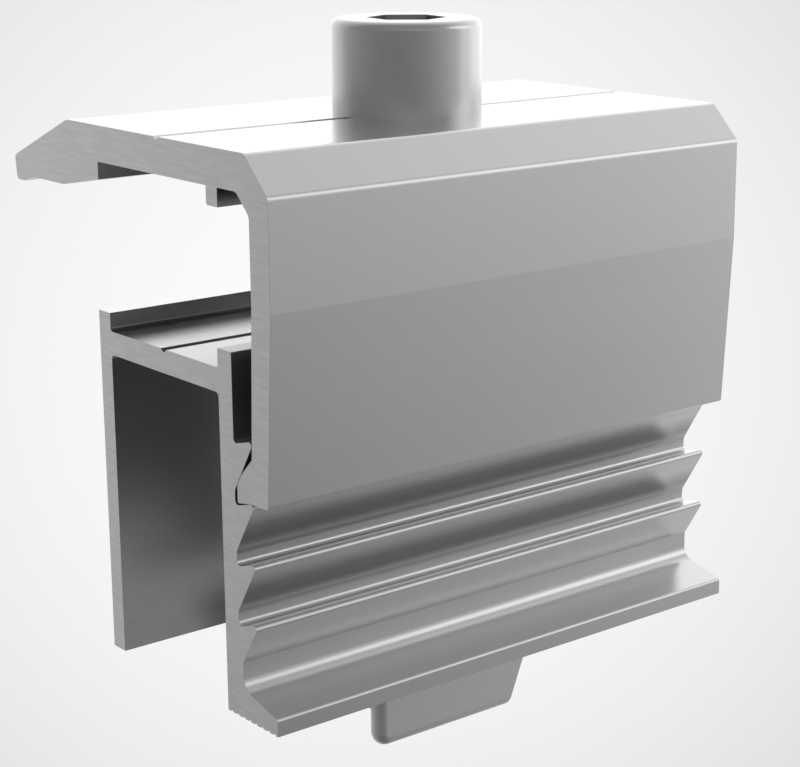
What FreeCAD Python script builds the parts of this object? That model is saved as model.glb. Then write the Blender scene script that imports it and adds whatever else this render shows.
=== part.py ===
import FreeCAD, Part
import os
import re
import Sketcher

# Solar panel end clamp, millimetres, +Z up
# The origin is on the screw's axis, in the plane of the rail that the clamp stands on.
# X runs from the pressing nose to the toothed leg, Y along the extrusions.

os.makedirs("parts", exist_ok=True)
doc = FreeCAD.newDocument("SolarEndClamp")

# Driving dimensions
sizes = {
    # Both extrusions
    "clampLength": 50.0,
    "screwHole": 9.0,
    # Lower extrusion: web, lips and legs
    "leftLegOuter": 10.08,
    "leftLegWall": 1.8,
    "rightLegInner": 7.89,
    "rightLegWall": 1.91,
    "lipRise": 1.55,
    "lipAboveTeeth": 7.235,
    "webThickness": 2.0,
    "lipFillet": 0.3,
    "webFillet": 0.45,
    # Lower extrusion: buttress teeth
    "toothCount": 4.0,
    "toothPitch": 5.0,
    "toothTip": 12.25,
    "tipRound": 0.3,
    "ledgeAngle": 15.5,
    "flankAngle": 31.75,
    "footLedgeRoot": 7.765,
    "rootFillet": 0.35,
    "neckFillet": 1.0,
    # Lower extrusion: foot
    "footNeck": 10.3,
    "footNeckDrop": 1.765,
    "footToe": 14.9,
    "footToeTop": 1.43,
    "footTopAngle": 13.7,
    "footFillet": 1.2,
    "toeRound": 0.25,
    "notchCount": 8.0,
    "notchPitch": 0.85,
    "notchDepth": 0.2,
    "notchHalfWidth": 0.2,
    "firstNotch": 8.45,
    # Line grooves that mark the screw's axis on the plate and the web
    "markHalfWidth": 0.45,
    "markDepth": 0.28,
    # Upper extrusion: plate and shoulder
    "jawDepth": 27.13,
    "plateThickness": 3.0,
    "noseBend": 14.05,
    "noseAngle": 22.7,
    "bendRound": 2.0,
    "shoulderCut": 3.0,
    "shoulderRound": 0.7,
    # Upper extrusion: pressing nose
    "noseFront": 23.5,
    "noseLean": 0.22,
    "noseRound": 0.45,
    "noseLip": 6.05,
    "noseLipWidth": 1.35,
    "noseHollow": 5.55,
    "hollowBack": 20.3,
    "hollowFront": 15.1,
    "stepLip": 4.47,
    "stepPlace": 9.18,
    # Upper extrusion: rib and corner pocket
    "ribPlace": 7.0,
    "ribWidth": 1.55,
    "ribDrop": 1.5,
    "ribRound": 0.25,
    "pocketSlant": 1.65,
    "pocketRound": 0.8,
    # Upper extrusion: leg and hook
    "legOuter": 15.25,
    "legWall": 2.5,
    "straightLeg": 11.7,
    "legFoot": 14.34,
    "heelRise": 0.1,
    "heelRound": 0.3,
    "innerLeanAngle": 2.34,
    "hookRise": 3.63,
    "hookShelf": 2.13,
    "hookTip": 10.15,
    "hookDrop": 0.33,
    "hookRound": 0.15,
    "hookedTooth": 2.0,
    "hookGap": 0.02,
    "flankGap": 0.06,
    # Socket head cap screw
    "screwDiameter": 8.0,
    "screwLength": 55.0,
    "headDiameter": 12.8,
    "headHeight": 8.0,
    "headRound": 0.7,
    "underHeadFillet": 0.4,
    "endChamfer": 1.0,
    "socketAcross": 6.0,
    "socketDepth": 4.0,
    "socketTurnAngle": -7.0,
    "socketConeDepth": 1.4,
    # Slot nut
    "nutPastEnd": 0.35,
    "nutHeight": 8.05,
    "nutWidth": 10.0,
    "nutLength": 21.6,
    "nutEndAngle": 22.0,
    "nutTurnHalf": 7.5,
    "nutFlange": 1.9,
    "nutWeb": 4.5,
    "nutFlangeRound": 0.94,
    "nutCornerRound": 1.3,
    "boreChamfer": 0.5,
    "threadGap": 0.05,
}

sheet = doc.addObject("Spreadsheet::Sheet", "Sizes")
for row, (sizeName, size) in enumerate(sizes.items(), start=1):
    sheet.set(f"A{row}", sizeName)
    sheet.set(f"B{row}", str(size))
    sheet.setAlias(f"B{row}", sizeName)
doc.recompute()


def bound(expression):
    """The expression with each size's name led by the sheet's."""
    return re.sub(r"[A-Za-z]\w*", lambda word: "Sizes." + word[0] if word[0] in sizes else word[0], expression)


def value(expression):
    return float(sheet.evalExpression(bound(expression)))


def newBody(name):
    body = doc.addObject("PartDesign::Body", name)
    body.Label = name
    return body


def newSketch(body, name, plane):
    sketch = body.newObject("Sketcher::SketchObject", name)
    origin = [item for item in body.Origin.OriginFeatures if item.Role == plane]
    sketch.AttachmentSupport = [(origin[0], "")]
    sketch.MapMode = "FlatFace"
    return sketch


def constrain(sketch, kind, target, expression):
    index = sketch.addConstraint(Sketcher.Constraint(kind, *target, value(expression)))
    sketch.setExpression(f"Constraints[{index}]", bound(expression))


def addOutline(sketch, corners):
    """A closed outline of straight edges through corners of two expressions each."""
    first = sketch.GeometryCount
    points = [FreeCAD.Vector(value(across), value(up), 0) for across, up in corners]
    for start, end in zip(points, points[1:] + points[:1]):
        sketch.addGeometry(Part.LineSegment(start, end))
    last = first + len(corners) - 1
    for line in range(first, last + 1):
        following = first if line == last else line + 1
        sketch.addConstraint(Sketcher.Constraint("Coincident", line, 2, following, 1))
    for line, (across, up) in enumerate(corners, start=first):
        constrain(sketch, "DistanceX", (-1, 1, line, 1), across)
        constrain(sketch, "DistanceY", (-1, 1, line, 1), up)


def addCircle(sketch, diameter):
    circle = sketch.addGeometry(Part.Circle(FreeCAD.Vector(), FreeCAD.Vector(0, 0, 1), value(diameter) / 2))
    sketch.addConstraint(Sketcher.Constraint("Coincident", circle, 3, -1, 1))
    constrain(sketch, "Diameter", (circle,), diameter)


def addPad(body, name, sketch, length):
    """A pad of the sketch to both sides of its plane."""
    pad = body.newObject("PartDesign::Pad", name)
    pad.Profile = sketch
    pad.SideType = "Symmetric"
    pad.setExpression("Length", bound(length))
    doc.recompute()
    return pad


def addPocket(body, name, sketch, length):
    """A cut of the sketch to both sides of its plane."""
    pocket = body.newObject("PartDesign::Pocket", name)
    pocket.Profile = sketch
    pocket.SideType = "Symmetric"
    pocket.setExpression("Length", bound(length))
    doc.recompute()
    return pocket


def addPattern(body, name, feature, direction, spacing, count, reverse=False):
    pattern = body.newObject("PartDesign::LinearPattern", name)
    pattern.Originals = [feature]
    pattern.Direction = direction
    pattern.Mode = "Spacing"
    pattern.Reversed = reverse
    pattern.setExpression("Offset", bound(spacing))
    pattern.setExpression("Occurrences", bound(count))
    body.Tip = pattern
    doc.recompute()
    return pattern


def longEdges(feature, corners):
    """Names of the feature's edges that run along Y through corners in the section."""
    places = [(value(across), value(up)) for across, up in corners]
    found = []
    for number, edge in enumerate(feature.Shape.Edges, start=1):
        start, end = edge.Vertexes[0].Point, edge.Vertexes[-1].Point
        if abs(start.x - end.x) > 1e-4 or abs(start.z - end.z) > 1e-4:
            continue
        if any(abs(start.x - x) < 1e-3 and abs(start.z - z) < 1e-3 for x, z in places):
            found.append(f"Edge{number}")
    return found


def addFillet(body, name, feature, edges, radius):
    fillet = body.newObject("PartDesign::Fillet", name)
    fillet.Base = (feature, edges)
    fillet.setExpression("Radius", bound(radius))
    doc.recompute()
    return fillet


def roundCorners(body, feature, rounds):
    """Rounds the long edges at named corners, each group with its own radius."""
    for name, (radius, corners) in rounds.items():
        feature = addFillet(body, name, feature, longEdges(feature, corners), radius)
    return feature


# Form of a tooth, shared by the base and the hook that engages it
tipHalfAngle = "(90 - ledgeAngle - flankAngle) / 2"
tipBisector = "(45 + (ledgeAngle - flankAngle) / 2)"
neck = "(rightLegInner + rightLegWall)"
topLedgeRoot = "(footLedgeRoot + (toothCount - 1) * toothPitch)"
lipTop = f"({topLedgeRoot} + lipAboveTeeth)"
toothCorner = f"(toothTip - tipRound + tipRound * cos({tipBisector}) / sin({tipHalfAngle}))"
toothCornerHeight = f"({topLedgeRoot} + ({toothCorner} - {neck}) * tan(ledgeAngle))"
crest = f"({toothCornerHeight} - tipRound * sin({tipBisector}) / sin({tipHalfAngle}) + tipRound)"
flankEnd = f"({toothCornerHeight} - ({toothCorner} - {neck}) / tan(flankAngle))"

# Height of the plate's top: the hook rests on the crest of the tooth that it holds
plateTop = f"({crest} - (hookedTooth - 1) * toothPitch + hookGap + jawDepth)"


def makeBase():
    body = newBody("clamp_base")
    leftOuter = "-leftLegOuter"
    leftInner = "-leftLegOuter + leftLegWall"
    webTop = f"{lipTop} - lipRise"
    webUnder = f"{lipTop} - lipRise - webThickness"
    footNeckTop = "footLedgeRoot - footNeckDrop"
    footRoot = "footToeTop + (footToe - footNeck) * tan(footTopAngle)"

    section = newSketch(body, "BaseSection", "XZ_Plane")
    addOutline(section, [
        (leftOuter, "0"),
        (leftOuter, lipTop),
        (leftInner, lipTop),
        (leftInner, webTop),
        ("-markHalfWidth", webTop),
        ("0", f"{webTop} - markDepth"),
        ("markHalfWidth", webTop),
        ("rightLegInner", webTop),
        ("rightLegInner", lipTop),
        (neck, lipTop),
        (neck, footNeckTop),
        ("footNeck", footNeckTop),
        ("footNeck", footRoot),
        ("footToe", "footToeTop"),
        ("footToe", "0"),
        ("rightLegInner", "0"),
        ("rightLegInner", webUnder),
        (leftInner, webUnder),
        (leftInner, "0"),
    ])
    addPad(body, "BaseExtrusion", section, "clampLength")

    # One buttress tooth, repeated down the leg
    toothSection = newSketch(body, "ToothSection", "XZ_Plane")
    addOutline(toothSection, [
        (neck, topLedgeRoot),
        (toothCorner, toothCornerHeight),
        (neck, flankEnd),
    ])
    tooth = addPad(body, "Tooth", toothSection, "clampLength")
    teeth = addPattern(body, "Teeth", tooth, (toothSection, ["V_Axis"]), "toothPitch", "toothCount", reverse=True)

    steps = range(int(value("toothCount")))
    roots = [(neck, f"{topLedgeRoot} - {step} * toothPitch") for step in steps]
    tips = [(toothCorner, f"{toothCornerHeight} - {step} * toothPitch") for step in steps]
    necks = [(neck, f"{flankEnd} - {step} * toothPitch") for step in steps[:-1]]
    roundCorners(body, teeth, {
        "TipRounds": ("tipRound", tips),
        "RootFillets": ("rootFillet", roots),
        "NeckFillets": ("neckFillet", necks),
        "FootFillet": ("footFillet", [("footNeck", footRoot)]),
        "ToeRound": ("toeRound", [("footToe", "footToeTop")]),
        "LipFillets": ("lipFillet", [(leftInner, webTop), ("rightLegInner", webTop)]),
        "WebFillets": ("webFillet", [(leftInner, webUnder), ("rightLegInner", webUnder)]),
    })

    # Serrations under the foot
    notchSection = newSketch(body, "NotchSection", "XZ_Plane")
    addOutline(notchSection, [
        ("firstNotch - notchHalfWidth", "0"),
        ("firstNotch", "notchDepth"),
        ("firstNotch + notchHalfWidth", "0"),
    ])
    notch = addPocket(body, "Notch", notchSection, "clampLength")
    addPattern(body, "Serrations", notch, (notchSection, ["H_Axis"]), "notchPitch", "notchCount")

    holeSection = newSketch(body, "BaseHoleSection", "XY_Plane")
    addCircle(holeSection, "screwHole")
    addPocket(body, "BaseHole", holeSection, f"2 * {lipTop}")
    return body


def makeJaw():
    """The upper extrusion, drawn down from its top face."""
    body = newBody("clamp_jaw")
    legInner = "legOuter - legWall"
    noseCorner = "-(noseFront - noseBend) * tan(noseAngle)"
    pocketTop = "-plateThickness"
    hookedCrest = "-jawDepth - hookGap"
    shelfHeight = "-jawDepth + hookShelf"
    riseHeight = "-jawDepth + hookRise"

    # Height of the flank over the hook above the crest below it, seen from the plate's top
    flankFromCrest = f"{toothCornerHeight} - {crest} + toothPitch"
    flankOver = f"({toothCorner} + flankGap - ({hookedCrest} + {flankFromCrest} - ({shelfHeight})) * tan(flankAngle))"
    tipHeight = f"{shelfHeight} - ({flankOver} - hookTip) / tan(flankAngle)"

    section = newSketch(body, "JawSection", "XZ_Plane")
    addOutline(section, [
        ("-noseBend", "0"),
        ("-markHalfWidth", "0"),
        ("0", "-markDepth"),
        ("markHalfWidth", "0"),
        ("legOuter - shoulderCut", "0"),
        ("legOuter", "-shoulderCut"),
        ("legOuter", "-straightLeg"),
        ("legFoot", "-jawDepth + heelRise"),
        ("toothTip - tipRound", "-jawDepth"),
        ("hookTip", "-jawDepth - hookDrop"),
        ("hookTip", tipHeight),
        (flankOver, shelfHeight),
        (f"{legInner} - ({riseHeight} + straightLeg) * -1 * tan(innerLeanAngle)", riseHeight),
        (legInner, "-straightLeg"),
        (legInner, f"{pocketTop} - pocketSlant"),
        (f"{legInner} - pocketSlant", pocketTop),
        ("ribPlace + ribWidth", pocketTop),
        ("ribPlace + ribWidth", f"{pocketTop} - ribDrop"),
        ("ribPlace", f"{pocketTop} - ribDrop"),
        ("ribPlace", pocketTop),
        ("-stepPlace", pocketTop),
        ("-stepPlace", "-stepLip"),
        ("-hollowFront", "-noseHollow"),
        ("-hollowBack", "-noseHollow"),
        ("-noseFront + noseLean + noseLipWidth", "-noseLip"),
        ("-noseFront + noseLean", "-noseLip"),
        ("-noseFront", noseCorner),
    ])
    pad = addPad(body, "JawExtrusion", section, "clampLength")
    roundCorners(body, pad, {
        "BendRound": ("bendRound", [("-noseBend", "0")]),
        "ShoulderRounds": ("shoulderRound", [("legOuter - shoulderCut", "0"), ("legOuter", "-shoulderCut")]),
        "NoseRounds": ("noseRound", [("-noseFront", noseCorner), ("-noseFront + noseLean", "-noseLip")]),
        "RibRound": ("ribRound", [("ribPlace", f"{pocketTop} - ribDrop")]),
        "PocketRounds": ("pocketRound", [
            (legInner, f"{pocketTop} - pocketSlant"),
            (f"{legInner} - pocketSlant", pocketTop),
        ]),
        "HeelRound": ("heelRound", [("legFoot", "-jawDepth + heelRise")]),
        "HookRounds": ("hookRound", [("hookTip", "-jawDepth - hookDrop"), ("hookTip", tipHeight)]),
    })

    holeSection = newSketch(body, "JawHoleSection", "XY_Plane")
    addCircle(holeSection, "screwHole")
    addPocket(body, "JawHole", holeSection, "4 * plateThickness")
    body.setExpression("Placement.Base.z", bound(plateTop))
    return body


def makeScrew():
    """The cap screw, drawn from the plane under its head."""
    body = newBody("cap_screw")
    section = newSketch(body, "ScrewSection", "XZ_Plane")
    addOutline(section, [
        ("0", "-screwLength"),
        ("screwDiameter / 2 - endChamfer", "-screwLength"),
        ("screwDiameter / 2", "-screwLength + endChamfer"),
        ("screwDiameter / 2", "0"),
        ("headDiameter / 2", "0"),
        ("headDiameter / 2", "headHeight"),
        ("0", "headHeight"),
    ])
    turned = body.newObject("PartDesign::Revolution", "ScrewTurning")
    turned.Profile = section
    turned.ReferenceAxis = (section, ["V_Axis"])
    turned.Angle = 360
    doc.recompute()

    # Hexagon socket with the drill's cone below it
    socket = newSketch(body, "SocketSection", "XY_Plane")
    cornerRadius = "socketAcross / 2 / cos(30)"
    corners = []
    for corner in range(6):
        turn = f"socketTurnAngle + {60 * corner}"
        corners.append((f"{cornerRadius} * cos({turn})", f"{cornerRadius} * sin({turn})"))
    addOutline(socket, corners)
    socket.setExpression("AttachmentOffset.Base.z", bound("headHeight"))
    hexagon = body.newObject("PartDesign::Pocket", "Socket")
    hexagon.Profile = socket
    hexagon.setExpression("Length", bound("socketDepth"))
    doc.recompute()

    cone = newSketch(body, "SocketConeSection", "XZ_Plane")
    addOutline(cone, [
        ("0", "headHeight - socketDepth - socketConeDepth"),
        ("socketAcross / 2", "headHeight - socketDepth"),
        ("0", "headHeight - socketDepth"),
    ])
    drilled = body.newObject("PartDesign::Groove", "SocketCone")
    drilled.Profile = cone
    drilled.ReferenceAxis = (cone, ["V_Axis"])
    drilled.Angle = 360
    doc.recompute()

    rim = circleEdges(drilled, "headDiameter / 2", "headHeight")
    rounded = addFillet(body, "HeadRound", drilled, rim, "headRound")
    root = circleEdges(rounded, "screwDiameter / 2", "0")
    addFillet(body, "UnderHeadFillet", rounded, root, "underHeadFillet")
    body.setExpression("Placement.Base.z", bound(plateTop))
    return body


def circleEdges(feature, radius, height):
    """Names of the feature's round edges about Z of one radius, at one height."""
    found = []
    for number, edge in enumerate(feature.Shape.Edges, start=1):
        if edge.Curve.TypeId != "Part::GeomCircle" or abs(edge.Curve.Radius - value(radius)) > 1e-3:
            continue
        if abs(edge.Vertexes[0].Point.z - value(height)) < 1e-3:
            found.append(f"Edge{number}")
    return found


def turnEndEdges(feature, upright):
    """Names of the edges of the two short flange ends: their upright ones, or those across the foot."""
    found = []
    for number, edge in enumerate(feature.Shape.Edges, start=1):
        start, end = edge.Vertexes[0].Point, edge.Vertexes[-1].Point
        if start.x * start.y > 0 or any(abs(abs(y) - value("nutTurnHalf")) > 1e-4 for y in (start.y, end.y)):
            continue
        if (abs(start.x - end.x) < 1e-4) == upright and min(start.z, end.z) < -value("nutWeb") - 1e-3:
            found.append(f"Edge{number}")
    return found


def makeNut():
    """The slot nut, drawn down from its top face: a bored web with a flange along each side."""
    body = newBody("slot_nut")
    topHalf = "nutLength / 2"
    footHalf = "(nutLength / 2 - nutHeight * tan(nutEndAngle))"
    side = newSketch(body, "NutSide", "YZ_Plane")
    addOutline(side, [
        (f"-{topHalf}", "0"),
        (f"-{footHalf}", "-nutHeight"),
        (footHalf, "-nutHeight"),
        (topHalf, "0"),
    ])
    addPad(body, "NutBlock", side, "nutWidth")

    channelHalf = "nutWidth / 2 - nutFlange"
    channel = newSketch(body, "NutChannelSection", "XZ_Plane")
    addOutline(channel, [
        (f"-({channelHalf})", "-nutWeb"),
        (channelHalf, "-nutWeb"),
        (channelHalf, "-nutHeight"),
        (f"-({channelHalf})", "-nutHeight"),
    ])
    block = addPocket(body, "NutChannel", channel, "nutLength")

    # Two opposite flanges are shorter and round at the end, so that the nut turns into the slot
    for name, across, along in (("NearTurnCut", 1, -1), ("FarTurnCut", -1, 1)):
        turnCut = newSketch(body, f"{name}Section", "XY_Plane")
        addOutline(turnCut, [
            (f"{across} * ({channelHalf})", f"{along} * nutTurnHalf"),
            (f"{across} * nutWidth", f"{along} * nutTurnHalf"),
            (f"{across} * nutWidth", f"{along} * nutLength"),
            (f"{across} * ({channelHalf})", f"{along} * nutLength"),
        ])
        block = addPocket(body, name, turnCut, "3 * nutHeight")
    block = addFillet(body, "NutCornerRounds", block, turnEndEdges(block, upright=False), "nutCornerRound")
    addFillet(body, "NutEndRounds", block, turnEndEdges(block, upright=True), "nutFlangeRound")

    boreSection = newSketch(body, "BoreSection", "XY_Plane")
    addCircle(boreSection, "screwDiameter + 2 * threadGap")
    bored = addPocket(body, "Bore", boreSection, "3 * nutHeight")
    mouths = []
    for height in ("0", "-nutWeb"):
        mouths += circleEdges(bored, "screwDiameter / 2 + threadGap", height)
    countersink = body.newObject("PartDesign::Chamfer", "BoreChamfers")
    countersink.Base = (bored, mouths)
    countersink.setExpression("Size", bound("boreChamfer"))
    doc.recompute()
    body.setExpression("Placement.Base.z", bound(f"{plateTop} - screwLength - nutPastEnd + nutHeight"))
    return body


pieces = [makeBase(), makeJaw(), makeScrew(), makeNut()]
doc.recompute()

for item in doc.Objects:
    if "Invalid" in item.State or "Error" in item.State:
        raise RuntimeError(f"{item.Name} failed: {item.State}")
for piece in pieces:
    if piece.Shape.isNull() or not piece.Shape.isValid() or len(piece.Shape.Solids) != 1:
        raise RuntimeError(f"{piece.Label} is not one valid solid")
for piece in pieces:
    piece.Shape.exportStep(f"parts/{piece.Label}.step")
    print(piece.Label, round(piece.Shape.Volume, 2), piece.Shape.BoundBox)
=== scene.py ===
import math

import bmesh
import bpy
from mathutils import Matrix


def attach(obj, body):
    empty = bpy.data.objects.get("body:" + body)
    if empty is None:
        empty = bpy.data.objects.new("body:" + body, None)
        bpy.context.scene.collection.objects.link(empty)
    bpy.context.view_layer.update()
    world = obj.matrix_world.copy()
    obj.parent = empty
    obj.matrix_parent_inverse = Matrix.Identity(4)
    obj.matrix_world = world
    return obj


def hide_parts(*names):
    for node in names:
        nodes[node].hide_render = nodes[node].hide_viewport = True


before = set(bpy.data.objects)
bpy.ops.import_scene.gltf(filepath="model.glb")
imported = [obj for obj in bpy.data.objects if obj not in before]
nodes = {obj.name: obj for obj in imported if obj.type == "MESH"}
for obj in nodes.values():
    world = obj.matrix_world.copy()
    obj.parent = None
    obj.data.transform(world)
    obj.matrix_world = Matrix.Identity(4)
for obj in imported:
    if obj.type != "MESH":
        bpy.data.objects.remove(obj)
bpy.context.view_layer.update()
mm = 0.001


# Shader helpers

class Value:
    # A shader socket that can be calculated with
    def __init__(self, graph, socket):
        self.graph = graph
        self.socket = socket

    def math(self, operation, *given):
        return self.graph.node("ShaderNodeMath", {"operation": operation}, given)

    def __add__(self, other):
        return self.math("ADD", self, other)

    def __sub__(self, other):
        return self.math("SUBTRACT", self, other)

    def __rsub__(self, other):
        return self.math("SUBTRACT", other, self)

    def __mul__(self, other):
        return self.math("MULTIPLY", self, other)

    def __truediv__(self, other):
        return self.math("DIVIDE", self, other)

    def __pow__(self, power):
        return self.math("POWER", self, power)

    def __abs__(self):
        return self.math("ABSOLUTE", self)

    __radd__ = __add__
    __rmul__ = __mul__

    def fraction(self):
        return self.math("FRACT", self)

    def above(self, edge):
        return self.math("GREATER_THAN", self, edge)

    def least(self, limit):
        return self.math("MAXIMUM", self, limit)

    def most(self, limit):
        return self.math("MINIMUM", self, limit)


class Graph:
    # The node tree of a material or of the world
    def __init__(self, owner):
        owner.use_nodes = True
        self.tree = owner.node_tree
        self.tree.nodes.clear()

    def node(self, kind, settings=None, values=None, output=0):
        made = self.tree.nodes.new(kind)
        for name, setting in (settings or {}).items():
            setattr(made, name, setting)
        pairs = values.items() if isinstance(values, dict) else enumerate(values or [])
        for key, given in pairs:
            if isinstance(given, Value):
                self.tree.links.new(given.socket, made.inputs[key])
            else:
                made.inputs[key].default_value = given
        if made.outputs:
            return Value(self, made.outputs[output])

    def place(self):
        return self.node("ShaderNodeTexCoord", output=3)

    def ramp(self, value, stops, ease="LINEAR"):
        made = self.node("ShaderNodeValToRGB", {}, [value])
        curve = made.socket.node.color_ramp
        curve.interpolation = ease
        while len(curve.elements) < len(stops):
            curve.elements.new(1.0)
        for element, (spot, level) in zip(curve.elements, stops):
            element.position = spot
            element.color = grey(level)
        return made

    def noise(self, place, stretch, scale, detail=3.0):
        stretched = self.node("ShaderNodeMapping", {}, {"Vector": place, "Scale": stretch})
        return self.node("ShaderNodeTexNoise", {}, {"Vector": stretched, "Scale": scale, "Detail": detail})

    def mix(self, factor, first, second):
        return self.node("ShaderNodeMix", {"data_type": "RGBA"}, {0: factor, 6: first, 7: second}, output=2)

    def shades(self, level, change, marks):
        return self.mix(marks, grey(level - change / 2), grey(level + change / 2))

    def vector(self, operation, *given, output=0):
        return self.node("ShaderNodeVectorMath", {"operation": operation}, given, output)

    def dot(self, vector, side):
        return self.vector("DOT_PRODUCT", vector, side, output=1)

    def metal(self, look, marks, colour, roughness):
        bump = self.node("ShaderNodeBump", {}, {
            "Strength": look["bump"], "Distance": look["markDepth"], "Height": marks,
        })
        shader = self.node("ShaderNodeBsdfPrincipled", {}, {
            "Base Color": colour, "Metallic": 1.0, "Roughness": roughness, "Normal": bump,
        })
        self.node("ShaderNodeOutputMaterial", {}, {"Surface": shader})


def grey(level):
    return (level, level, level, 1)


def varied(level, change, marks):
    return level + (marks - 0.5) * change


def newMaterial(name):
    material = bpy.data.materials.new(name)
    return material, Graph(material)


# Mesh helpers

def copyNode(node, weld=0.001 * mm, flatBend=0.5):
    form = bmesh.new()
    form.from_mesh(nodes[node].data)
    bmesh.ops.remove_doubles(form, verts=form.verts, dist=weld)
    bmesh.ops.dissolve_limit(form, angle_limit=math.radians(flatBend), verts=form.verts, edges=form.edges)
    return form


def breakEdges(form, size, sharpBend=35):
    # Takes the sharpness off the edges, as deburring does
    sharp = math.radians(sharpBend)
    corners = [edge for edge in form.edges if edge.is_manifold and edge.calc_face_angle(0) > sharp]
    bmesh.ops.bevel(
        form, geom=corners, offset=size, segments=2,
        affect="EDGES", profile=0.5, material=-1, clamp_overlap=True,
    )


def finishMesh(form, name, largeFace=math.inf, sharpBend=16, creaseBend=1):
    # Smooth but for sharp edges, and for any crease between two large faces
    for face in form.faces:
        face.smooth = True
    for edge in form.edges:
        if not edge.is_manifold:
            edge.smooth = False
            continue
        large = all(face.calc_area() > largeFace for face in edge.link_faces)
        edge.smooth = edge.calc_face_angle(0) < math.radians(creaseBend if large else sharpBend)
    mesh = bpy.data.meshes.new(name)
    form.to_mesh(mesh)
    form.free()
    piece = bpy.data.objects.new(name, mesh)
    bpy.context.scene.collection.objects.link(piece)
    return piece


def showPiece(piece, node, body, material):
    # Large faces shade flat, and the rounds between them take up the bend
    weighted = piece.modifiers.new("flatFaces", "WEIGHTED_NORMAL")
    weighted.keep_sharp = True
    weighted.weight = 100
    piece.data.materials.clear()
    piece.data.materials.append(material)
    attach(piece, body)
    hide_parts(node)


# Extrusions

extrusionLook = {
    "shade": 0.62,
    "shadeChange": 0.04,
    "sawnShadeChange": 0.12,
    "squarely": 0.7,           # a sawn end looks along the extrusion at least so squarely
    # Painted shade: a darker base colour between the legs
    "insidePaintedShade": 0.55,
    "insideShadeChange": 0.16,
    "legInside": 8.35 * mm,
    "lipTop": 31 * mm,
    # Darkest painted shade under the plate
    "underPlatePaintedShade": 0.38,
    "plateUnderside": 42.6 * mm,
    "underPlateMiddle": -4.9 * mm,
    "underPlateHalf": 17.8 * mm,
    # Painted shade on the undercut flanks of the teeth, darkest in their middle, standing in for the dark
    # undercut they mirror
    "flankPaintedShade": 0.42,
    "flankBase": 7.9 * mm,
    "flankPitch": 5 * mm,
    "flankMiddle": 0.42,
    "flankSpread": 3,
    "neckFace": 9.7 * mm,
    "toothTips": 12.1 * mm,
    "hookLine": 17.9 * mm,
    "drawnRoughness": 0.26,
    "drawnRoughnessChange": 0.04,
    "sawnRoughness": 0.3,
    "sawnRoughnessChange": 0.06,
    "dieLineScale": 4000,
    "dieLineStretch": (1, 0.12, 1),    # drawn out along the extrusion
    "sawMarkScale": 3200,
    "sawMarkStretch": (0.1, 1, 1),     # across the sawn ends
    "cloudScale": 90,
    "cloudStretch": (1, 0.3, 1),
    "cloudShare": 0.4,
    "bump": 0.08,
    "markDepth": 0.012 * mm,
    "edgeBreak": 0.015 * mm,
    "largeFace": 30 * mm * mm,
}


def flankShadeMask(look, x, z):
    # 1 in the middle of each undercut flank below the hook, 0 away from the flanks: where the painted shade
    # goes
    tooth = ((z - look["flankBase"]) / look["flankPitch"]).fraction()
    band = (1 - abs(tooth - look["flankMiddle"]) * look["flankSpread"]).least(0)
    onTeeth = x.above(look["neckFace"]) * (1 - x.above(look["toothTips"]))
    return band * onTeeth * z.above(look["flankBase"]) * (1 - z.above(look["hookLine"]))


def extrusionMetal():
    look = extrusionLook
    material, graph = newMaterial("milledExtrusion")
    place = graph.place()
    facing = graph.node("ShaderNodeTexCoord", output=1)
    x = graph.dot(place, (1, 0, 0))
    z = graph.dot(place, (0, 0, 1))
    sawn = abs(graph.dot(facing, (0, 1, 0))).above(look["squarely"])
    upward = graph.dot(facing, (0, 0, 1)).above(look["squarely"])
    aboveLips = z.above(look["lipTop"])
    # Painted shade: marks the faces between the legs, which get a darker base colour
    inside = (1 - abs(x).above(look["legInside"])) * (1 - aboveLips) * (1 - upward)
    underWidth = 1 - abs(x - look["underPlateMiddle"]).above(look["underPlateHalf"])
    # Painted shade: marks the underside of the plate, which gets the darkest base colour
    under = underWidth * aboveLips * (1 - z.above(look["plateUnderside"]))

    dieLines = graph.noise(place, look["dieLineStretch"], look["dieLineScale"])
    sawMarks = graph.noise(place, look["sawMarkStretch"], look["sawMarkScale"])
    clouds = graph.noise(place, look["cloudStretch"], look["cloudScale"])
    lines = dieLines * (1 - look["cloudShare"]) + clouds * look["cloudShare"]
    outer = graph.shades(look["shade"], look["shadeChange"], lines)
    inner = graph.shades(look["insidePaintedShade"], look["insideShadeChange"], lines)
    underneath = graph.shades(look["underPlatePaintedShade"], look["shadeChange"], lines)
    # Painted shade between the legs and under the plate, mixed into the colour of the drawn faces
    drawn = graph.mix(under, graph.mix(inside, outer, inner), underneath)
    # Painted shade: darkens the middle of each undercut flank
    drawn = graph.mix(flankShadeMask(look, x, z) * look["flankPaintedShade"], drawn, grey(0))
    cut = graph.shades(look["shade"], look["sawnShadeChange"], sawMarks * 2 - 0.5)
    colour = graph.mix(sawn, drawn, cut)
    sawnRoughness = varied(look["sawnRoughness"], look["sawnRoughnessChange"], sawMarks)
    drawnRoughness = varied(look["drawnRoughness"], look["drawnRoughnessChange"], clouds)
    roughness = drawnRoughness + sawn * (sawnRoughness - drawnRoughness)
    graph.metal(look, graph.mix(sawn, grey(0.5), sawMarks), colour, roughness)
    return material


def makeExtrusions():
    metal = extrusionMetal()
    for node, body in (("clamp_jaw", "jaw"), ("clamp_base", "base")):
        form = copyNode(node)
        breakEdges(form, extrusionLook["edgeBreak"])
        piece = finishMesh(form, body + "Extrusion", extrusionLook["largeFace"])
        showPiece(piece, node, body, metal)


# Nut

nutLook = {
    "shade": 0.65,
    "shadeChange": 0.04,
    "roughness": 0.5,
    "roughnessChange": 0.1,
    "grainScale": 2500,
    "bump": 0.15,
    "markDepth": 0.01 * mm,
    "edgeBreak": 0.03 * mm,
}


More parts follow.
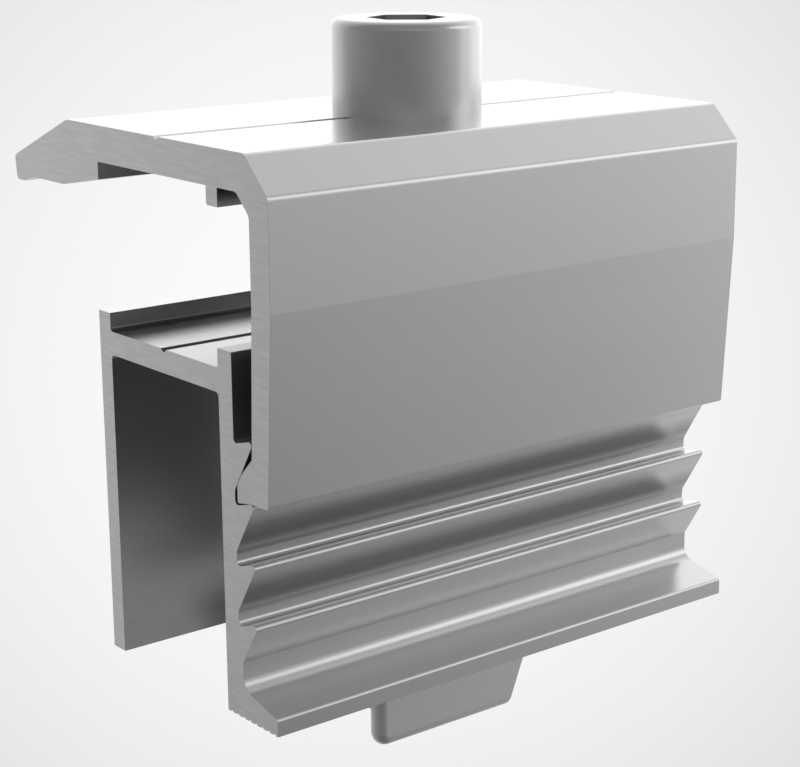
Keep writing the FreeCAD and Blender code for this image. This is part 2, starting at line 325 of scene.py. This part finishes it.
def nutMetal():
    look = nutLook
    material, graph = newMaterial("pressedSteel")
    grain = graph.noise(graph.place(), (1, 1, 1), look["grainScale"])
    colour = graph.shades(look["shade"], look["shadeChange"], grain)
    graph.metal(look, grain, colour, varied(look["roughness"], look["roughnessChange"], grain))
    return material


def makeNut():
    form = copyNode("slot_nut")
    breakEdges(form, nutLook["edgeBreak"])
    showPiece(finishMesh(form, "slotNut"), "slot_nut", "nut", nutMetal())


# Screw

screwLook = {
    "shade": 0.51,
    "shadeChange": 0.04,
    "roughness": 0.24,
    "roughnessChange": 0.08,
    "turningScale": 4000,
    "markTurn": 0.0008,        # draws the turning marks out round the axis
    "bump": 0.07,
    "markDepth": 0.01 * mm,
    "shankRadius": 4.0 * mm,
    "endChamfer": 1.0 * mm,
    "threadPitch": 1.25 * mm,
    "threadBottom": -9.5 * mm,
    "threadTop": 18.5 * mm,
    "threadAround": 72,
    # Place along one pitch and depth of the groove there
    "groove": [
        (0, 0), (0.12, 0), (0.3, 0.37 * mm), (0.48, 0.7 * mm), (0.64, 0.7 * mm), (0.82, 0.37 * mm),
    ],
    "weld": 0.0005 * mm,
    "sliver": 0.0001 * mm,
}


def screwMetal():
    look = screwLook
    material, graph = newMaterial("turnedSteel")
    place = graph.place()
    x, y, z = (graph.dot(place, axis) for axis in ((1, 0, 0), (0, 1, 0), (0, 0, 1)))
    angle = y.math("ARCTAN2", y, x)
    wrapped = graph.node("ShaderNodeCombineXYZ", {}, [angle * look["markTurn"], 0.0, z])
    turned = graph.noise(wrapped, (1, 1, 1), look["turningScale"])
    colour = graph.shades(look["shade"], look["shadeChange"], turned)
    graph.metal(look, turned, colour, varied(look["roughness"], look["roughnessChange"], turned))
    return material


def threadRing(form, turn, share, depth):
    # One turn of the helix at a share of the pitch. It runs out at the top and keeps the end's chamfer.
    look = screwLook
    pitch, bottom, top = look["threadPitch"], look["threadBottom"], look["threadTop"]
    ring = []
    for column in range(look["threadAround"] + 1):
        height = bottom + (turn - 1 + share + column / look["threadAround"]) * pitch
        height = min(max(height, bottom), top)
        runOut = min(1, (top - height) / pitch)
        chamfered = look["shankRadius"] - look["endChamfer"] + height - bottom
        reach = min(look["shankRadius"] - depth * runOut, chamfered)
        angle = 2 * math.pi * column / look["threadAround"]
        ring.append(form.verts.new((reach * math.cos(angle), reach * math.sin(angle), height)))
    return ring


def openRim(form, height, near=0.01 * mm):
    rim = [edge for edge in form.edges if edge.is_boundary]
    return [edge for edge in rim if all(abs(corner.co.z - height) < near for corner in edge.verts)]


def cutThread(form):
    # A helical groove in place of the plain end of the shank
    look = screwLook
    bmesh.ops.bisect_plane(
        form, geom=form.verts[:] + form.edges[:] + form.faces[:],
        plane_co=(0, 0, look["threadTop"]), plane_no=(0, 0, 1), clear_inner=True,
    )
    turns = math.ceil((look["threadTop"] - look["threadBottom"]) / look["threadPitch"]) + 2
    steps = [(turn, share, depth) for turn in range(turns) for share, depth in look["groove"]]
    rings = [threadRing(form, *step) for step in steps]
    for lower, upper in zip(rings, rings[1:]):
        for column in range(look["threadAround"]):
            form.faces.new((lower[column], lower[column + 1], upper[column + 1], upper[column]))
    made = [corner for ring in rings for corner in ring]
    bmesh.ops.remove_doubles(form, verts=made, dist=look["weld"])
    bmesh.ops.dissolve_degenerate(form, dist=look["sliver"], edges=form.edges)
    shankRim, endRim = openRim(form, look["threadTop"]), openRim(form, look["threadBottom"])
    bmesh.ops.bridge_loops(form, edges=shankRim)
    bmesh.ops.contextual_create(form, geom=endRim)
    bmesh.ops.recalc_face_normals(form, faces=form.faces)


def makeScrew():
    form = copyNode("cap_screw")
    cutThread(form)
    showPiece(finishMesh(form, "capScrew"), "cap_screw", "screw", screwMetal())


# Floor, light and camera

studio = {
    "floorDrop": 60 * mm,
    "floorHalf": 6,            # metres, as is plainReach
    "white": 0.93,
    # What the camera sees of the floor: a painted pool of light, a soft glow behind the clamp that fades
    # into plain white
    "glowFrom": (135 * mm, -106 * mm, 66 * mm),
    "glowToward": (-0.775, 0.585, -0.245),
    "glowSpread": 10,
    "glowLevels": [(0, 0.62), (0.5, 0.36), (0.9, 0.58)],
    "plainLevel": 0.58,
    "plainReach": 5,
    "plainEdge": [(0.34, 0), (0.9, 1)],
    "paperShade": 0.35,        # the part of the floor that takes the clamp's shadow
    # What metal mirrors, from the side away from the backdrop (0) to the backdrop (1)
    "backdropSide": (-0.77, 0.64, 0.0),
    "leftSide": (-0.64, -0.77, 0.0),
    # The floor that metal mirrors carries painted light: brighter toward the backdrop, darker near the
    # clamp as a painted shadow
    "floorLevels": [
        (0, 0.14), (0.1, 0.2), (0.32, 0.33), (0.42, 0.38), (0.52, 0.45), (0.63, 0.5), (0.75, 0.76),
        (1, 0.8),
    ],
    "floorBand": [(0.47, 0), (0.55, 0.13), (0.65, 0.02)],
    "floorLeftDulling": 0.15,
    "floorNear": 0.25,         # metres from the clamp where the floor has its plain brightness
    "floorReach": 0.3,
    "floorMost": 1.6,
    "floorStrength": 1.21,
    "skyLevels": [
        (0, 0.28), (0.25, 0.31), (0.5, 0.42), (0.655, 0.72), (0.72, 0.78), (0.88, 0.98), (1, 1.0),
    ],
    "skyBand": [(0.47, 0), (0.56, 0.36), (0.66, 0.3), (0.74, 0)],
    "skyBandHeight": [(0.3, 1), (0.55, 0)],
    "skyLeftDulling": 0.45,
    "skyTopDulling": (0, 0, 0.4),
    "skyStrength": 1.75,
    "windowSide": (0.66, 0.66, 0.36),
    "windowLevels": [(0.955, 0), (0.985, 0.45)],
}


def mirroredSides(graph, direction):
    # How far a direction points to the backdrop, to the left and to the right
    across = graph.dot(direction, studio["leftSide"])
    share = graph.dot(direction, studio["backdropSide"]) * 0.5 + 0.5
    return share, across.least(0), (across * -1).least(0)


def floorPaintedLight(graph, place, distance):
    # Painted light on the floor that metal mirrors: an emission brighter toward the backdrop and in a band
    # to the right, dimmer to the left, and dimmer near the clamp as a painted shadow
    direction = graph.vector("NORMALIZE", graph.vector("MULTIPLY", place, (1, 1, 0)))
    share, left, right = mirroredSides(graph, direction)
    level = graph.ramp(share, studio["floorLevels"]) * (1 - left * studio["floorLeftDulling"])
    level = level + graph.ramp(share, studio["floorBand"], "EASE") * right
    reach = (distance / studio["floorNear"]) ** studio["floorReach"]
    strength = ((reach.most(studio["floorMost"]) - 1) * (1 - left) + 1) * studio["floorStrength"]
    return graph.node("ShaderNodeEmission", {}, {"Color": level, "Strength": strength})


# The floor as the camera sees it: lit paper plus a painted glow
def paperWithPaintedGlow(graph, place, distance):
    ray = graph.vector("NORMALIZE", graph.vector("SUBTRACT", place, studio["glowFrom"]))
    aim = graph.dot(ray, studio["glowToward"])
    glow = graph.ramp((1 - aim) * studio["glowSpread"], studio["glowLevels"])
    plain = graph.ramp(distance / studio["plainReach"], studio["plainEdge"])
    glow = glow + (studio["plainLevel"] - glow) * plain
    lit = graph.node("ShaderNodeBsdfDiffuse", {}, {"Color": grey(studio["paperShade"])})
    paper = graph.node("ShaderNodeEmission", {}, {"Color": glow})
    return graph.node("ShaderNodeAddShader", {}, [lit, paper])


def makeFloor():
    form = bmesh.new()
    bmesh.ops.create_grid(form, x_segments=1, y_segments=1, size=studio["floorHalf"])
    bmesh.ops.translate(form, vec=(0, 0, -studio["floorDrop"]), verts=form.verts)
    floor = finishMesh(form, "floor")
    material, graph = newMaterial("palePaper")
    cameraRay = graph.node("ShaderNodeLightPath")
    place = graph.place()
    distance = graph.vector("LENGTH", graph.vector("MULTIPLY", place, (1, 1, 0)), output=1)
    mirrored, white = floorPaintedLight(graph, place, distance), paperWithPaintedGlow(graph, place, distance)
    seen = graph.node("ShaderNodeMixShader", {}, [cameraRay, mirrored, white])
    graph.node("ShaderNodeOutputMaterial", {}, {"Surface": seen})
    floor.data.materials.append(material)


def mirroredSky(graph):
    direction = graph.node("ShaderNodeTexCoord", output=0)
    share, left, right = mirroredSides(graph, direction)
    window = graph.ramp(graph.dot(direction, studio["windowSide"]), studio["windowLevels"], "EASE")
    level = graph.ramp(share, studio["skyLevels"]) * (1 - left * studio["skyLeftDulling"])
    level = level * (1 - graph.dot(direction, studio["skyTopDulling"])) + window
    low = graph.ramp(graph.dot(direction, (0, 0, 1)), studio["skyBandHeight"])
    level = level + graph.ramp(share, studio["skyBand"]) * right * low
    return graph.node("ShaderNodeBackground", {}, {"Color": level, "Strength": studio["skyStrength"]})


def makeWorld():
    world = bpy.data.worlds.new("studio")
    bpy.context.scene.world = world
    graph = Graph(world)
    cameraRay, glossyRay, passingRay = (graph.node("ShaderNodeLightPath", output=ray) for ray in (0, 3, 6))
    mirroring = (glossyRay + passingRay).most(1)
    soft = graph.node("ShaderNodeBackground", {}, {"Color": grey(1.0)})
    mirrored = graph.node("ShaderNodeMixShader", {}, [mirroring, soft, mirroredSky(graph)])
    white = graph.node("ShaderNodeBackground", {}, {"Color": grey(studio["white"])})
    seen = graph.node("ShaderNodeMixShader", {}, [cameraRay, mirrored, white])
    graph.node("ShaderNodeOutputWorld", {}, {"Surface": seen})


view = {
    "place": (134.906 * mm, -106.308 * mm, 65.972 * mm),
    "tilt": 75.407,
    "turn": 50.147,
    "lens": 90,
    "shift": (-0.0795, 0.0025),
}


def makeCamera():
    lens = bpy.data.cameras.new("camera")
    camera = bpy.data.objects.new("camera", lens)
    bpy.context.scene.collection.objects.link(camera)
    camera.location = view["place"]
    camera.rotation_euler = (math.radians(view["tilt"]), 0, math.radians(view["turn"]))
    lens.lens = view["lens"]
    lens.shift_x, lens.shift_y = view["shift"]
    lens.clip_start = 10 * mm
    bpy.context.scene.camera = camera


makeExtrusions()
print("extrusions made")
makeNut()
print("nut made")
makeScrew()
print("screw made")
makeFloor()
makeWorld()
makeCamera()
bpy.context.scene.view_settings.view_transform = "Standard"
print("studio made")
